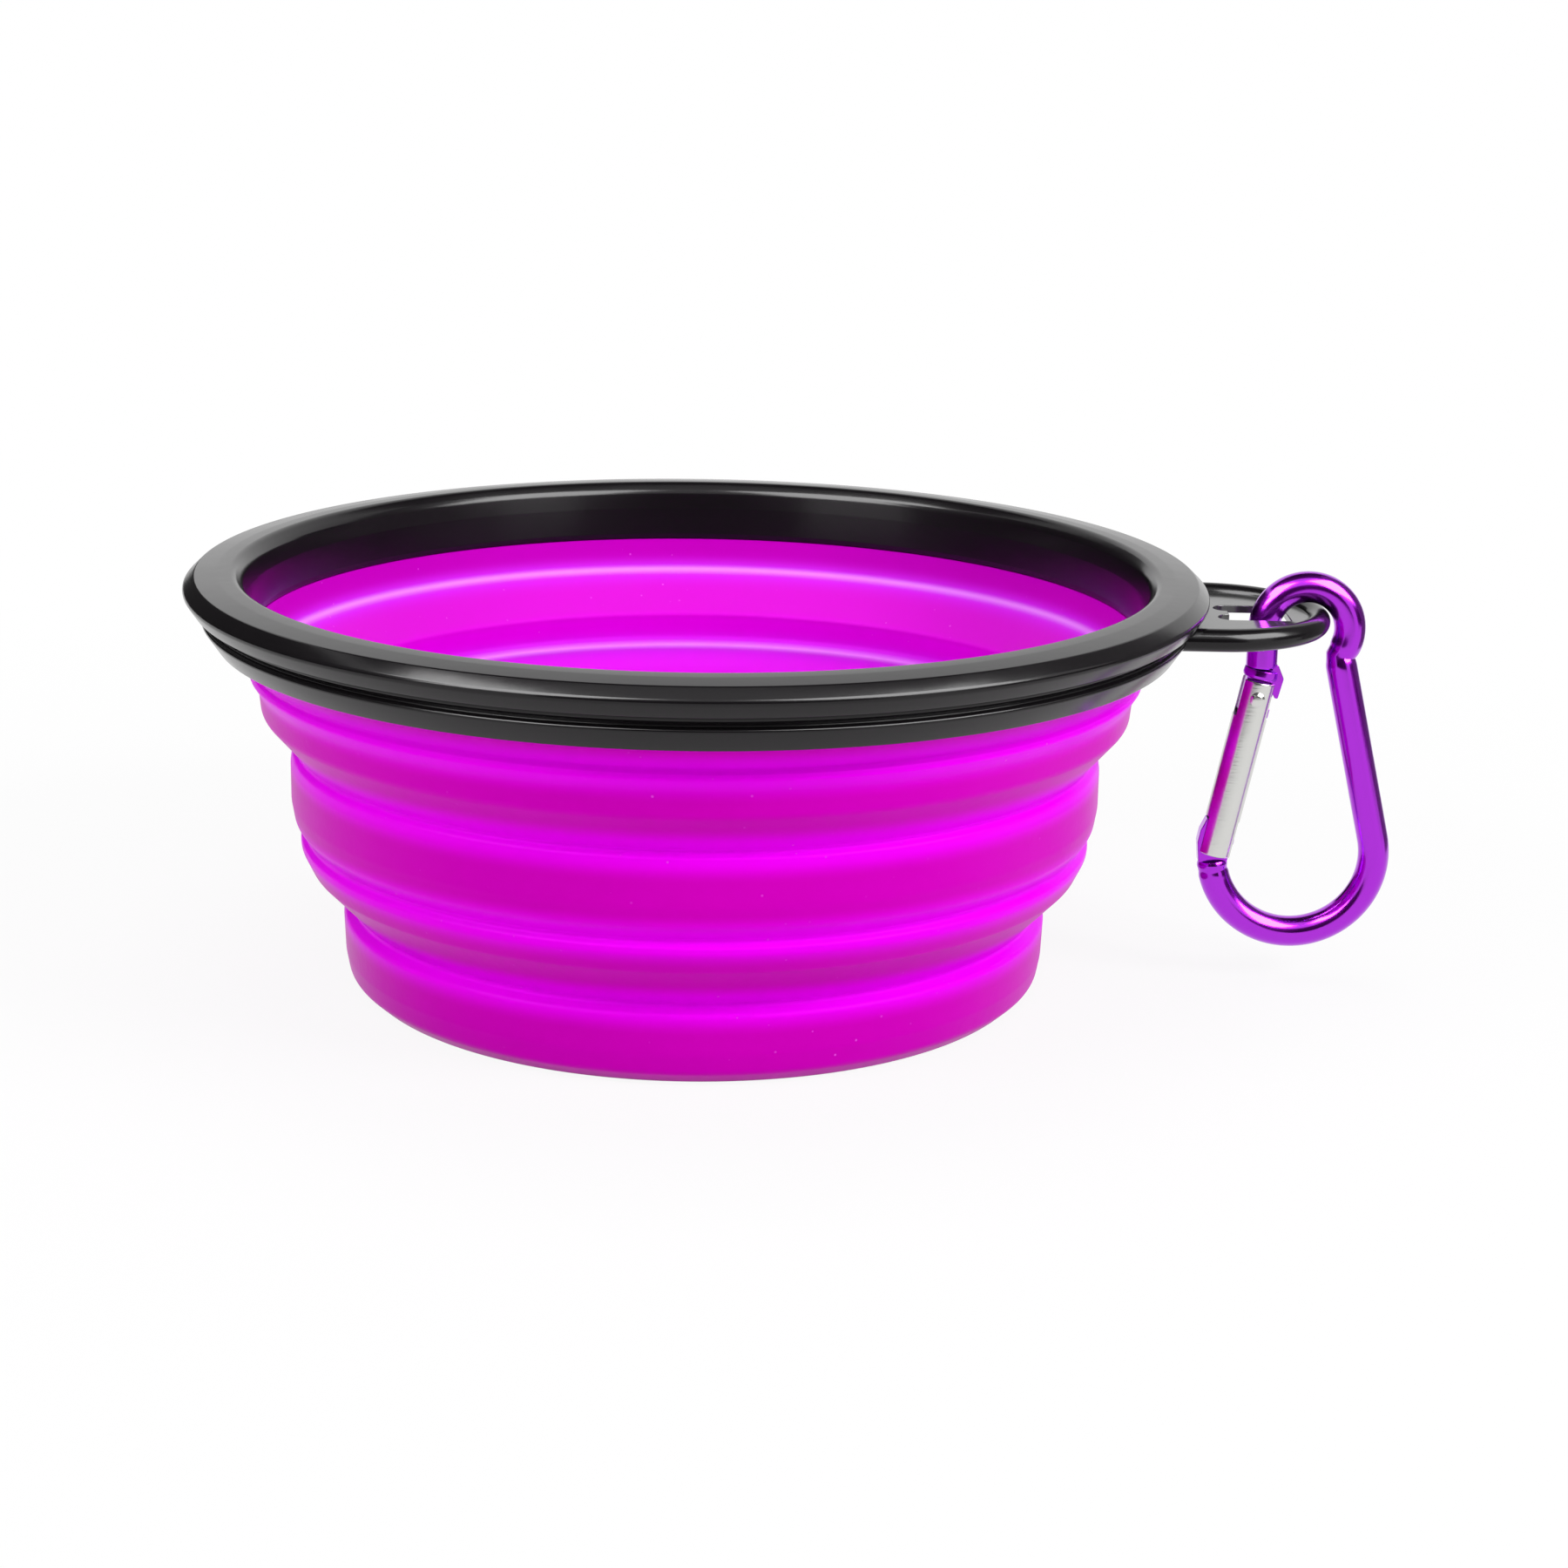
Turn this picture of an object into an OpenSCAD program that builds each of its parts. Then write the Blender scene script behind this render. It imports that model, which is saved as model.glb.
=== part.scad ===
// Folding travel bowl with a hard rim, a hanging tab and a snap hook.
// The soft bowl is one moulding. It is drawn as the five stretches between its
// four hinge lines, because it folds flat by turning two of them inside out.
// Origin: centre of the foot, on the surface that the bowl stands on.
// The tab points along +X.

/* [Base cup] */
// How far the flat foot lies in from the side of the base cup
foot_in = 3.1; // [2:0.1:8]
// Height of the base cup, up to the lower hinge line
base_h = 10.2; // [7:0.1:16]
// Height of the rounded corner above the foot
foot_round_h = 2.9; // [1.5:0.1:5]
// Wall of the base cup
base_wall = 2.4; // [1.5:0.1:3.5]
// Thickness of the floor
floor_t = 2.2; // [1.2:0.1:4]

/* [Folding walls] */
// Height of the lower fold
lower_fold_h = 9.8; // [7:0.1:12]
// How far the lower fold narrows towards the base cup
lower_fold_in = 5.3; // [4:0.1:8]
// Height of the middle band
band_h = 11; // [8:0.1:16]
// How far the lower fold's top lies in from the middle band
band_in = 1; // [0.5:0.1:2]
// Height of the upper fold
upper_fold_h = 10.5; // [8:0.1:13]
// How far the upper fold narrows towards the middle band
upper_fold_in = 4.8; // [4:0.1:8]
// Thickness of the wall at the hinge lines
hinge_t = 1.2; // [0.8:0.1:1.6]
// How far the walls step in at the hinge lines
hinge_step = 0.9; // [0.4:0.1:1.2]

/* [Collar] */
// Height of the sloping collar under the rim
collar_h = 4.3; // [3:0.1:7]
// How far the collar's foot stands out from the bore of the rim
collar_foot_out = 0.3; // [0:0.1:1]
// How far the collar's top edge lies in from the outside of the bead
collar_in = 0.25; // [0.1:0.05:1]
// Thickness of the bead that the rim traps
bead_t = 1.4; // [1:0.1:1.5]
// Height of the bead above the collar
bead_h = 5; // [3:0.1:5.6]

/* [Rim] */
// Inner radius of the rim, which the walls of the bowl follow
rim_bore_r = 56.3; // [45:0.1:80]
// Width of the rim from its bore to its outside
rim_w = 8.7; // [7.5:0.1:12]
// Height of the top ring, from its inner edge to its crest
rim_h = 8.1; // [7:0.1:10]
// Wall of the top ring
rim_wall = 1.6; // [1.2:0.1:1.8]
// Height of the top ring outside, from its seam with the lower ring to its crest
rim_lip_h = 4.05; // [3.6:0.05:5]
// Height of the outer skirt below the seam
skirt_h = 4.4; // [3:0.1:6]
// Thickness of the skirt at its lower edge
skirt_t = 0.8; // [0.6:0.1:1.5]
// Thickness of the flange that carries the tab
flange_t = 1.3; // [1:0.1:2]

/* [Tab] */
// Reach of the end bar's centre line past the outside of the rim
tab_reach = 14; // [10:0.1:20]
// Radius of the tab's round end, along the middle of the bar
tab_end_r = 13.8; // [11:0.1:16]
// Thickness of the bar round the tab
bar_d = 2.8; // [2.2:0.1:3]
// Thickness of the web inside the bar
web_t = 1; // [0.6:0.1:1.6]
// Length of the slot, from its stem to the end bar
slot_len = 7.4; // [6.5:0.1:9]
// Width of the slot
slot_w = 8.6; // [6:0.1:12]
// Distance from the slot to the middle of the end bar
slot_to_bar = 4; // [3:0.1:4.2]

/* [Snap hook] */
// Thickness of the rod
rod_d = 4; // [3:0.1:4.4]
// Room that the small bend leaves round the end of the tab
hook_room = 0.8; // [0.3:0.1:2]
// Radius of the wide bend at the bottom, along the middle of the rod
bow_r = 10.5; // [9:0.1:13]
// Distance between the centres of the two bends
hook_to_bow = 30; // [26:0.1:40]
// How far the small bend runs on past its outer side, in degrees
neck_a = 37; // [20:1:45]
// How far the rod ends below the middle of the wide bend, in degrees
shoulder_a = 5; // [0:1:15]
// Drop from the middle of the small bend to the nose
nose_drop = 3.9; // [3:0.1:6]
// How far the nose lies in from the outer side of the small bend
nose_in = 0.4; // [0:0.1:1]
// Length of the nose block
nose_len = 2.6; // [1.5:0.1:4]
// Width of the nose block
nose_w = 4.9; // [4.4:0.1:5.4]
// Thickness of the flat tongues at the nose and at the hinge
tongue_t = 2; // [1.4:0.1:2.2]

/* [Gate] */
// Thickness of the gate
gate_d = 4.5; // [4.2:0.1:4.8]
// Distance from the rod's end to the hinge pin
pin_up = 3.1; // [3.1:0.1:4]
// Distance from the hinge pin to the foot of the gate
gate_foot = 2.2; // [1.8:0.1:2.4]
// Thickness of the hinge pin
hinge_pin_d = 1.6; // [1.2:0.1:2]
// Thickness of the latch pin
latch_pin_d = 1.4; // [1:0.1:1.6]
// Distance from the latch pin to the top of the gate
latch_down = 2.2; // [1.8:0.1:3]
// Width of the latch pin's heads
latch_head_d = 2.2; // [1.8:0.1:2.4]
// Thickness of the spring that closes the gate
spring_d = 2; // [1.5:0.1:2.2]
// Length of the spring
spring_len = 7.2; // [5:0.1:10]
// Length of the plunger under the spring
plunger_len = 2; // [1.5:0.1:3]

/* [Fits] */
// Gap between pieces that lie loose in each other
slip = 0.15; // [0.1:0.01:0.25]
// Gap all round a turning pin
pin_play = 0.05; // [0.02:0.01:0.1]
// Gap all round a pin that is held tight
pin_seat = 0.01; // [0.005:0.005:0.02]

/* [Hidden] */
$fn = 96;
overrun = 1;
silicone_colour = [0.82, 0.02, 0.76];
rim_colour = [0.16, 0.15, 0.16];
rod_colour = [0.5, 0.08, 0.72];
steel_colour = [0.78, 0.78, 0.76];

// Heights of the hinge lines, from the foot up
lower_hinge_z = base_h;
band_foot_z = lower_hinge_z + lower_fold_h;
band_top_z = band_foot_z + band_h;
upper_hinge_z = band_top_z + upper_fold_h;
collar_top_z = upper_hinge_z + collar_h;

// Shares of a fold's height and width at which its faces change slope
fold_flank_share = 0.48;
fold_flank_out_share = 0.67;
fold_inner_share = 0.5;
fold_cap_share = 0.05;
// Shares of the foot's rounded corner
foot_mid_h_share = 0.4;
foot_mid_r_share = 0.68;
// Share of the slot's width that is one lobe's radius
slot_lobe_share = 0.19;
// Shares of a pin's thickness, for its heads and for the fork below it
latch_head_share = 0.25;
fork_depth_share = 2;
// Share of the spring's width that is wire, and of the slip that a straight is thinner
wire_share = 0.17;
step_share = 0.12;

// Outer radii of the walls, from the rim's bore down to the foot
rim_r = rim_bore_r + rim_w;
upper_fold_r = rim_bore_r + collar_foot_out;
band_r = upper_fold_r - upper_fold_in;
lower_fold_r = band_r - band_in;
base_r = lower_fold_r - lower_fold_in;
foot_r = base_r - foot_in;

// Inner radii of the walls, each one hinge thickness inside the step
base_bore_r = base_r - base_wall;
lower_fold_foot_r = base_r - hinge_step - hinge_t / 2;
band_foot_r = lower_fold_r - hinge_step;
band_neck_r = band_r - hinge_step;
band_bore_foot_r = band_foot_r - hinge_t;
band_bore_top_r = band_neck_r - hinge_t;
upper_bore_r = upper_fold_r - hinge_t;

// Rim heights and the room inside it
rim_top_z = collar_top_z + rim_h;
seam_z = rim_top_z - rim_lip_h;
skirt_foot_z = seam_z - skirt_h;
channel_top_z = rim_top_z - rim_wall;
bead_in_r = rim_bore_r + rim_wall + slip;
bead_out_r = bead_in_r + bead_t;
collar_r = bead_out_r - collar_in;
wall_in_r = bead_out_r + slip;
skirt_r = wall_in_r + skirt_t;
lip_r = rim_r - rim_wall;
channel_out_r = lip_r - rim_wall;
flange_out_r = lip_r + slip;
groove_r = channel_out_r;
skirt_top_r = groove_r + hinge_step;
crest_r = rim_bore_r + rim_wall;
// The rolled edge, as a share of the outer lip and the angles where it starts and ends
roll_share = 0.5;
roll_from_a = -35;
roll_to_a = 65;
arc_steps = 6;

// The tab's bar hangs just under the seam
bar_r = bar_d / 2;
bar_z = seam_z - bar_r - slip;
tab_tip_x = rim_r + tab_reach;
tab_mid_x = tab_tip_x - tab_end_r;
slot_end_x = tab_tip_x - slot_to_bar;
slot_start_x = slot_end_x - slot_len;
slot_lobe_r = slot_w * slot_lobe_share;
slot_lobe_y = slot_w / 2 - slot_lobe_r;
bar_root_r = (wall_in_r + skirt_r) / 2 + bar_r / 2;

// The small bend hangs round the end bar and the edge of the slot
rod_r = rod_d / 2;
hook_clear_r = (slot_to_bar + bar_r) / 2 + hook_room;
hook_r = hook_clear_r + rod_r;
hook_in = (slot_to_bar - bar_r) / 2;
hook_x = tab_tip_x - hook_in;
hook_hang = sqrt((hook_clear_r - slip - bar_r) ^ 2 - hook_in ^ 2);
hook_z = bar_z - hook_hang;
bow_z = hook_z - hook_to_bow;

// Straight stretches start this deep in a bend, and are this much thinner
bend_in = slip * 2;
bend_step = slip * step_share;

// The straight leg touches the wide bend and ends at the neck
neck_x = hook_r * cos(neck_a);
neck_z = hook_to_bow - hook_r * sin(neck_a);
neck_far = norm([neck_x, neck_z]);
leg_a = atan2(neck_z, neck_x) - acos(bow_r / neck_far);
leg_len = sqrt(neck_far ^ 2 - bow_r ^ 2);

// The gate lies on the line from the rod's end to the nose
shoulder_x = -bow_r * cos(shoulder_a);
shoulder_z = -bow_r * sin(shoulder_a);
nose_x = nose_in - hook_r;
nose_z = hook_to_bow - nose_drop;
gate_lean = atan2(nose_x - shoulder_x, nose_z - shoulder_z);
gate_line = norm([nose_x - shoulder_x, nose_z - shoulder_z]);
nose_top_y = gate_line - pin_up;
nose_foot_y = nose_top_y - nose_len;
gate_top_y = nose_foot_y - 2 * slip;
latch_y = gate_top_y - latch_down;
gate_r = gate_d / 2;
gate_foot_r = pin_up - 2 * slip;
fork_gap = tongue_t + 2 * slip;
hinge_tongue_r = gate_r + slip;
fork_top_y = hinge_tongue_r + 2 * slip;
fork_foot_y = latch_y - latch_pin_d * fork_depth_share;
latch_room = latch_pin_d / 2 + slip;
latch_drop = latch_room + 2 * slip;
spring_wire = spring_d * wire_share;
bore_r = spring_d / 2 + slip;
spring_foot_y = hinge_tongue_r + slip + plunger_len + slip;
bore_top_y = spring_foot_y + spring_len + slip;
latch_head_h = latch_pin_d * latch_head_share;
nose_t = rod_d - 2 * slip;
tongue_out_x = gate_r + latch_pin_d / 2;

// A closed ring with the given outline of [radius, height] points
module ring(outline) {
    rotate_extrude()
        polygon(outline);
}

// Points on a round stretch of an outline
function bend(middle, r, from, to) =
    [for (i = [0 : arc_steps]) let (a = from + (to - from) * i / arc_steps)
        middle + r * [cos(a), sin(a)]];

module base_cup() {
    shoulder = [base_r - hinge_step, lower_hinge_z];
    color(silicone_colour)
        ring([
            [0, 0],
            [foot_r, 0],
            [foot_r + (base_r - foot_r) * foot_mid_r_share, foot_round_h * foot_mid_h_share],
            [base_r, foot_round_h],
            [base_r, lower_hinge_z - hinge_step],
            shoulder,
            [base_bore_r, lower_hinge_z],
            [base_bore_r, floor_t * 2],
            [base_bore_r - floor_t, floor_t],
            [0, floor_t]
        ]);
}

// One slanted stretch between two hinge lines, foot inside and top outside
module fold(foot_in, foot_out, foot_z, top_in, top_out, top_z) {
    h = top_z - foot_z;
    flank = foot_out + (top_out - foot_out) * fold_flank_out_share;
    color(silicone_colour)
        ring([
            [foot_in, foot_z],
            [foot_out, foot_z],
            [flank, foot_z + h * fold_flank_share],
            [top_out, top_z - h * fold_cap_share],
            [top_out, top_z],
            [top_in, top_z],
            [foot_in, foot_z + h * fold_inner_share]
        ]);
}

module lower_fold() {
    fold(lower_fold_foot_r - hinge_t, lower_fold_foot_r, lower_hinge_z,
         band_bore_foot_r, lower_fold_r, band_foot_z);
}

module middle_band() {
    chamfer = band_r - band_foot_r;
    color(silicone_colour)
        ring([
            [band_bore_foot_r, band_foot_z],
            [band_foot_r, band_foot_z],
            [band_r, band_foot_z + chamfer],
            [band_r, band_top_z - hinge_step / 2],
            [band_neck_r, band_top_z],
            [band_bore_top_r, band_top_z]
        ]);
}

module upper_fold() {
    fold(band_bore_top_r, band_neck_r, band_top_z,
         upper_bore_r, upper_fold_r, upper_hinge_z);
}

// The collar slopes out to the rim, and its bead stands in the rim's channel
module bowl_collar() {
    color(silicone_colour)
        ring([
            [upper_bore_r, upper_hinge_z],
            [upper_fold_r, upper_hinge_z],
            [collar_r, collar_top_z],
            [bead_out_r, collar_top_z],
            [bead_out_r, collar_top_z + bead_h],
            [bead_in_r, collar_top_z + bead_h],
            [bead_in_r, collar_top_z],
            [rim_bore_r, collar_top_z]
        ]);
}

// The top ring: inner wall, rolled edge and the channel between them
module rim_top_ring() {
    lip_h = rim_lip_h - rim_wall;
    roll_r = lip_h * roll_share;
    roll_mid = [rim_r - roll_r, seam_z + lip_h - roll_r / 2];
    color(rim_colour)
        ring(concat(
            [[rim_bore_r, collar_top_z]],
            [[crest_r, collar_top_z]],
            [[crest_r, channel_top_z]],
            [[channel_out_r, channel_top_z]],
            [[channel_out_r, seam_z]],
            [[lip_r, seam_z]],
            bend(roll_mid, roll_r, roll_from_a, roll_to_a),
            bend([crest_r, rim_top_z - rim_wall], rim_wall, 90, 180)
        ));
}

// The lower ring: upstand, flange, groove and skirt, with the tab in one piece
module rim_lower_ring() {
    upstand_z = channel_top_z - slip;
    upstand_r = channel_out_r - slip;
    color(rim_colour) {
        ring([
            [wall_in_r, skirt_foot_z],
            [skirt_r, skirt_foot_z],
            [skirt_top_r, seam_z - flange_t - hinge_step / 2],
            [groove_r, seam_z - flange_t],
            [flange_out_r, seam_z - flange_t + slip],
            [flange_out_r, seam_z],
            [upstand_r, seam_z],
            [upstand_r, upstand_z],
            [wall_in_r, upstand_z]
        ]);
        tab();
    }
}

module tab() {
    root_x = sqrt(bar_root_r ^ 2 - tab_end_r ^ 2);
    translate([tab_mid_x, 0, bar_z]) {
        rotate([0, 0, -90])
            rotate_extrude(angle = 180)
                translate([tab_end_r, 0])
                    circle(r = bar_r);
        for (side = [-1, 1])
            translate([root_x - tab_mid_x, side * tab_end_r, 0])
                rotate([0, 90, 0])
                    cylinder(r = bar_r, h = tab_mid_x - root_x);
    }
    translate([0, 0, bar_z - web_t / 2])
        linear_extrude(web_t)
            web();
}

// The flat web, with a slot that has two round lobes at its inner end
module web() {
    difference() {
        union() {
            translate([tab_mid_x, 0])
                circle(r = tab_end_r);
            translate([0, -tab_end_r])
                square([tab_mid_x, tab_end_r * 2]);
        }
        circle(r = bar_root_r - bar_r / 2);
        translate([slot_start_x, -slot_w / 2])
            square([slot_len, slot_w]);
        for (side = [-1, 1])
            translate([slot_start_x, side * slot_lobe_y])
                circle(r = slot_lobe_r);
    }
}

// The upright plane of the snap hook, measured from the centre of its wide bend
module hook_plane() {
    translate([hook_x, 0, bow_z])
        rotate([90, 0, 0])
            children();
}

// The gate's own line, measured from its hinge pin, with +Y towards the nose
module gate_line_frame() {
    hook_plane()
        translate([shoulder_x, shoulder_z])
            rotate([0, 0, -gate_lean])
                translate([0, pin_up])
                    children();
}

module rod_bend(r, from, to) {
    rotate([0, 0, from])
        rotate_extrude(angle = to - from)
            translate([r, 0])
                circle(r = rod_r);
}

// A straight stretch of rod, let a little way into the bend it starts from
module straight(length) {
    translate([0, 0, -bend_in])
        cylinder(r = rod_r - bend_step, h = length + bend_in);
}

// A flat slab in the hook's plane, centred through its thickness
module slab(t) {
    translate([0, 0, -t / 2])
        linear_extrude(t)
            children();
}

// One bent rod: wide bend, straight leg, small bend and the arm down to the nose
module carabiner_body() {
    color(rod_colour) {
        hook_plane() {
            rod_bend(bow_r, -180 + shoulder_a, leg_a);
            translate([bow_r * cos(leg_a), bow_r * sin(leg_a)])
                rotate([-90, 0, leg_a])
                    straight(leg_len);
            translate([0, hook_to_bow]) {
                rod_bend(hook_r, -neck_a, 180);
                slab(nose_t)
                    circle_at(hook_r * cos(neck_a), -hook_r * sin(neck_a), rod_r - slip);
                translate([-hook_r, 0])
                    rotate([90, 0, 0])
                        straight(nose_drop + nose_len / 2);
            }
        }
        gate_line_frame() {
            hinge_tongue();
            nose();
        }
    }
}

// The flat end inside the gate's lower fork, bored for the hinge pin
module hinge_tongue() {
    difference() {
        slab(tongue_t) {
            circle(r = hinge_tongue_r);
            translate([slip - rod_r, -pin_up - rod_r / 2])
                square([rod_d - 2 * slip, pin_up + rod_r / 2]);
        }
        translate([0, 0, -gate_d / 2])
            cylinder(d = hinge_pin_d + 2 * pin_seat, h = gate_d);
    }
}

// The nose block and its flat tongue, whose notch holds the latch pin
module nose() {
    slab(nose_t)
        translate([-nose_w / 2, nose_foot_y])
            square([nose_w, nose_len]);
    slab(tongue_t)
        difference() {
            translate([-gate_r + slip, fork_foot_y + 2 * slip])
                square([gate_r - slip + tongue_out_x, nose_foot_y - fork_foot_y - slip]);
            circle_at(0, latch_y, latch_room);
            translate([0, latch_y - latch_drop])
                square([tongue_out_x + overrun, latch_drop + latch_room]);
            translate([gate_r - slip, fork_foot_y])
                square([tongue_out_x, latch_y - fork_foot_y]);
        }
}

module circle_at(x, y, r) {
    translate([x, y])
        circle(r = r);
}

// A tube with a fork at each end, bored for its spring and its two pins
module carabiner_gate() {
    color(steel_colour)
        gate_line_frame()
            difference() {
                rotate([-90, 0, 0])
                    translate([0, 0, -gate_foot])
                        cylinder(r = gate_r, h = gate_foot + gate_top_y);
                translate([0, -gate_foot - overrun])
                    slab(fork_gap)
                        translate([-gate_d, 0])
                            square([gate_d * 2, gate_foot + overrun + fork_top_y]);
                slab(fork_gap)
                    translate([-gate_d, fork_foot_y])
                        square([gate_d * 2, gate_top_y - fork_foot_y + overrun]);
                rotate([-90, 0, 0])
                    cylinder(r = bore_r, h = bore_top_y);
                foot_corners();
                translate([0, 0, -gate_d])
                    cylinder(d = hinge_pin_d + 2 * pin_play, h = gate_d * 2);
                translate([0, latch_y, -gate_d])
                    cylinder(d = latch_pin_d + 2 * pin_seat, h = gate_d * 2);
            }
}

// What is rounded off the gate's foot, so that it turns clear of the rod's end
module foot_corners() {
    slab(gate_d + overrun)
        difference() {
            translate([-gate_d, -gate_d])
                square([gate_d * 2, gate_d]);
            circle(r = gate_foot_r);
        }
}

module gate_hinge_pin() {
    color(steel_colour)
        gate_line_frame()
            translate([0, 0, -gate_r])
                cylinder(d = hinge_pin_d, h = gate_d);
}

module gate_latch_pin() {
    color(steel_colour)
        gate_line_frame()
            translate([0, latch_y, 0]) {
                translate([0, 0, -gate_r])
                    cylinder(d = latch_pin_d, h = gate_d);
                for (side = [-1, 1])
                    translate([0, 0, side * (gate_r + latch_head_h / 2) - latch_head_h / 2])
                        cylinder(d = latch_head_d, h = latch_head_h);
            }
}

module gate_plunger() {
    color(steel_colour)
        gate_line_frame()
            translate([0, hinge_tongue_r + slip, 0])
                rotate([-90, 0, 0])
                    cylinder(r = bore_r - slip, h = plunger_len);
}

module gate_spring() {
    color(steel_colour)
        gate_line_frame()
            translate([0, spring_foot_y, 0])
                rotate([-90, 0, 0])
                    difference() {
                        cylinder(d = spring_d, h = spring_len);
                        translate([0, 0, -overrun])
                            cylinder(d = spring_d - 2 * spring_wire, h = spring_len + 2 * overrun);
                    }
}

rim_top_ring();
rim_lower_ring();
bowl_collar();
upper_fold();
middle_band();
lower_fold();
base_cup();
carabiner_body();
carabiner_gate();
gate_hinge_pin();
gate_latch_pin();
gate_plunger();
gate_spring();
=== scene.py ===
# %% [markdown]
# # A folding silicone bowl with a snap hook
#
# The real object is a soft bowl that folds flat, held open by a hard black rim.
# A tab on the rim carries a purple snap hook with a bright sprung gate.
# The imported CAD model comes in first. It stays where it is as a fixed frame, and every
# piece made below sits in its space. All but the two folding walls move with one of its
# bodies.

# %% Load the imported model
import math

import bmesh
import bpy
from mathutils import Matrix, Vector


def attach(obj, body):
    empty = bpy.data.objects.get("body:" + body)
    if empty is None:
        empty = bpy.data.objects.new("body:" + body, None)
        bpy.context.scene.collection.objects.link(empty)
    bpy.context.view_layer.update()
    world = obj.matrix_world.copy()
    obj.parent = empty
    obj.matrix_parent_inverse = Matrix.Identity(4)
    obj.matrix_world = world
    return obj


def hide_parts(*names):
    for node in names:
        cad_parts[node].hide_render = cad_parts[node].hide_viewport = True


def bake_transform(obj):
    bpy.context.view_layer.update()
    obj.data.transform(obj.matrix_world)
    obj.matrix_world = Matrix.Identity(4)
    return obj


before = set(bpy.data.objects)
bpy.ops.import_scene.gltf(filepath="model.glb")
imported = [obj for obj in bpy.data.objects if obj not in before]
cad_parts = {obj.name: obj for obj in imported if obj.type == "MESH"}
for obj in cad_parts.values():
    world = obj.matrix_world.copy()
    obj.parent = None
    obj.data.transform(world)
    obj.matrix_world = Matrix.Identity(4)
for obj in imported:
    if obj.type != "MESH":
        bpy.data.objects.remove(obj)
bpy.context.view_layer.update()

MM = 0.001

# %% [markdown]
# ## Sizes
#
# All the outlines below are written in millimetres, as a maker would measure them, and
# they are turned into metres where a mesh is made. The heights of the four hinge lines
# come first, because every wall of the bowl starts or ends at one of them.

# %% Sizes of the bowl and the snap hook
HINGE_Z = (10.2, 20.0, 31.0, 41.5)
CUP_TOP, BAND_FOOT, BAND_TOP = HINGE_Z[:3]
RIM_BORE, COLLAR_TOP = 56.3, 45.8
# Radii of the hook's rod, and of its wide bow and its small bend along the rod's middle
ROD_R, BOW_R, HOOK_R = 2.0, 10.5, 5.5
# Where the middles of the small bend and of the bow stand in the bowl's frame
HOOK_X, HOOK_Z, BOW_Z = 77.7, 46.8466, 16.8466
HOOK_RISE = HOOK_Z - BOW_Z
# Angles at which the leg runs into the small bend, and at which the rod starts on the bow
NECK_A, SHOULDER_A = math.radians(37), math.radians(5)
# The gate's lean, and the height of its hinge pin over the start of the rod
GATE_LEAN, PIN_UP = math.radians(11.2223), 3.1
# The gate's radius, then heights from its hinge pin: latch pin, gate top, foot of the nose
GATE_R, LATCH_Y, GATE_TOP, NOSE_FOOT = 2.25, 19.34, 21.54, 21.84
print("rim bore %.1f mm, hook hangs from x %.1f, z %.1f" % (RIM_BORE, HOOK_X, HOOK_Z))

# %% [markdown]
# ## Node helpers
#
# A material or a Geometry Nodes tree built in a script is a list of nodes and links. A few
# small helpers keep each of them short. One adds a node with its settings, one starts a
# new material with a Principled BSDF, and the others make a range, a bump, a noise and an
# uneven roughness.

# %% Helpers that add nodes
def add(tree, kind, settings=None, **inputs):
    node = tree.nodes.new(kind)
    for key, value in (settings or {}).items():
        setattr(node, key, value)
    for key, value in inputs.items():
        node.inputs[key.replace("_", " ")].default_value = value
    return node


def new_material(name, colour, roughness, **inputs):
    material = bpy.data.materials.new(name)
    material.use_nodes = True
    shader = material.node_tree.nodes["Principled BSDF"]
    shader.inputs["Base Color"].default_value = (*colour, 1)
    shader.inputs["Roughness"].default_value = roughness
    for key, value in inputs.items():
        shader.inputs[key.replace("_", " ")].default_value = value
    material.diffuse_color = (*colour, 1)
    return material, material.node_tree, shader


def vary(tree, source, low, high, low_at=0.2, high_at=0.8):
    """Turns a 0 to 1 texture value into a smooth range between low and high."""
    node = add(tree, "ShaderNodeMapRange", {"interpolation_type": "SMOOTHSTEP"})
    for index, value in ((1, low_at), (2, high_at), (3, low), (4, high)):
        node.inputs[index].default_value = value
    tree.links.new(source, node.inputs[0])
    return node.outputs[0]


def bump(tree, shader, height, strength, distance):
    node = add(tree, "ShaderNodeBump", Strength=strength, Distance=distance)
    tree.links.new(height, node.inputs["Height"])
    tree.links.new(node.outputs[0], shader.inputs["Normal"])


def object_noise(tree, scale, detail=3.0, stretch=(1, 1, 1)):
    """Noise in the object's own metres, so that it stays put when the piece moves."""
    coords = add(tree, "ShaderNodeTexCoord")
    mapping = add(tree, "ShaderNodeMapping")
    mapping.inputs["Scale"].default_value = stretch
    noise = add(tree, "ShaderNodeTexNoise", Scale=scale, Detail=detail)
    tree.links.new(coords.outputs["Object"], mapping.inputs[0])
    tree.links.new(mapping.outputs[0], noise.inputs["Vector"])
    return noise.outputs[0]


def uneven(tree, shader, scale, low, high):
    """Lets the roughness wander between two values, as it does on a real surface."""
    tree.links.new(vary(tree, object_noise(tree, scale), low, high),
                   shader.inputs["Roughness"])


print("node helpers ready")
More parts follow.
